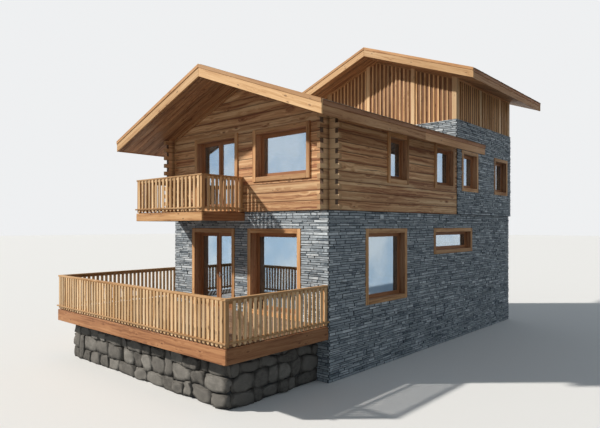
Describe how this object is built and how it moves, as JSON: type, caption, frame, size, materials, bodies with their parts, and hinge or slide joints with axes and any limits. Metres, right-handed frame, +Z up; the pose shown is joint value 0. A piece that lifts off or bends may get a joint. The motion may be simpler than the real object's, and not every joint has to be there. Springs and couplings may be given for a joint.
{
  "type": "alpine chalet",
  "caption": "Alpine chalet: stone ground floor, log storey with interlocked corners under a low gabled roof, taller stone and board block behind, wide terrace, balcony and glazed terrace door.",
  "frame": {"origin": "centre of the underside of the foundation slab, on the ridge line", "axes": "+Z up, +Y from the terrace gable towards the taller rear block, +X to the right seen from the front"},
  "size_m": [9.14, 16.748, 11.0305],
  "materials": {
    "footing": "cast concrete, matt",
    "rubble_stone": "rough rubble masonry, matt",
    "slate_stone": "thin ledges of split blue-grey slate",
    "logs": "squared larch logs, oiled, matt",
    "floor_boards": "planed boards, oiled",
    "attic_boards": "vertical sawn boards, oiled",
    "light_larch": "planed larch boards, light",
    "roof_panels": "boarded soffit below, shingles above",
    "glass": "clear double glazing",
    "steel": "brushed",
    "rail_larch": "planed larch, lightly weathered",
    "fascia_larch": "stained larch, orange-brown",
    "deck_larch": "grooved decking boards",
    "frame_larch": "oiled larch, golden to red-brown"
  },
  "bodies": {
    "house": {"foundation_slab": "footing", "front_wall_base": "slate_stone", "front_wall_piers": "slate_stone", "front_wall_lintel": "slate_stone", "right_stone_wall": "slate_stone", "left_stone_wall": "slate_stone", "rear_stone_wall": "slate_stone", "cross_wall": "slate_stone", "ground_floor": "floor_boards", "upper_floor": "floor_boards", "front_log_wall": "logs", "front_gable_logs": "logs", "right_log_wall": "logs", "left_log_wall": "logs", "attic_front_boards": "attic_boards", "attic_rear_boards": "attic_boards", "attic_side_boards": "attic_boards", "attic_posts": "light_larch", "front_roof_right": "roof_panels", "front_roof_left": "roof_panels", "front_roof_trim": "light_larch", "rear_roof_right": "roof_panels", "rear_roof_left": "roof_panels", "rear_roof_trim": "light_larch", "front_window_frames": "frame_larch", "side_window_frames": "frame_larch", "rear_window_frames": "frame_larch", "window_glass": "glass", "terrace_door_frame": "frame_larch", "terrace_door_hinges": "steel", "deck_plinth": "rubble_stone", "deck_fascia": "fascia_larch", "deck_joists": "fascia_larch", "deck_boards": "deck_larch", "deck_front_railing": "rail_larch", "deck_side_railings": "rail_larch", "deck_end_railing": "rail_larch", "balcony_floor": "deck_larch", "balcony_fascia": "fascia_larch", "balcony_front_railing": "rail_larch", "balcony_side_railings": "rail_larch"},
    "left_leaf": {"left_leaf_frame": "frame_larch", "left_leaf_glass": "glass", "left_leaf_fittings": "steel"},
    "right_leaf": {"right_leaf_frame": "frame_larch", "right_leaf_glass": "glass", "right_leaf_fittings": "steel"}
  },
  "joints": [
    {"name": "left_leaf_hinge", "type": "hinge", "parent": "house", "child": "left_leaf", "pos_m": [-2.261, -5.896, 2.68], "axis": [0, 0, 1], "range_deg": [0, 90]},
    {"name": "right_leaf_hinge", "type": "hinge", "parent": "house", "child": "right_leaf", "pos_m": [-0.434, -5.896, 2.68], "axis": [0, 0, -1], "range_deg": [0, 90]}
  ]
}
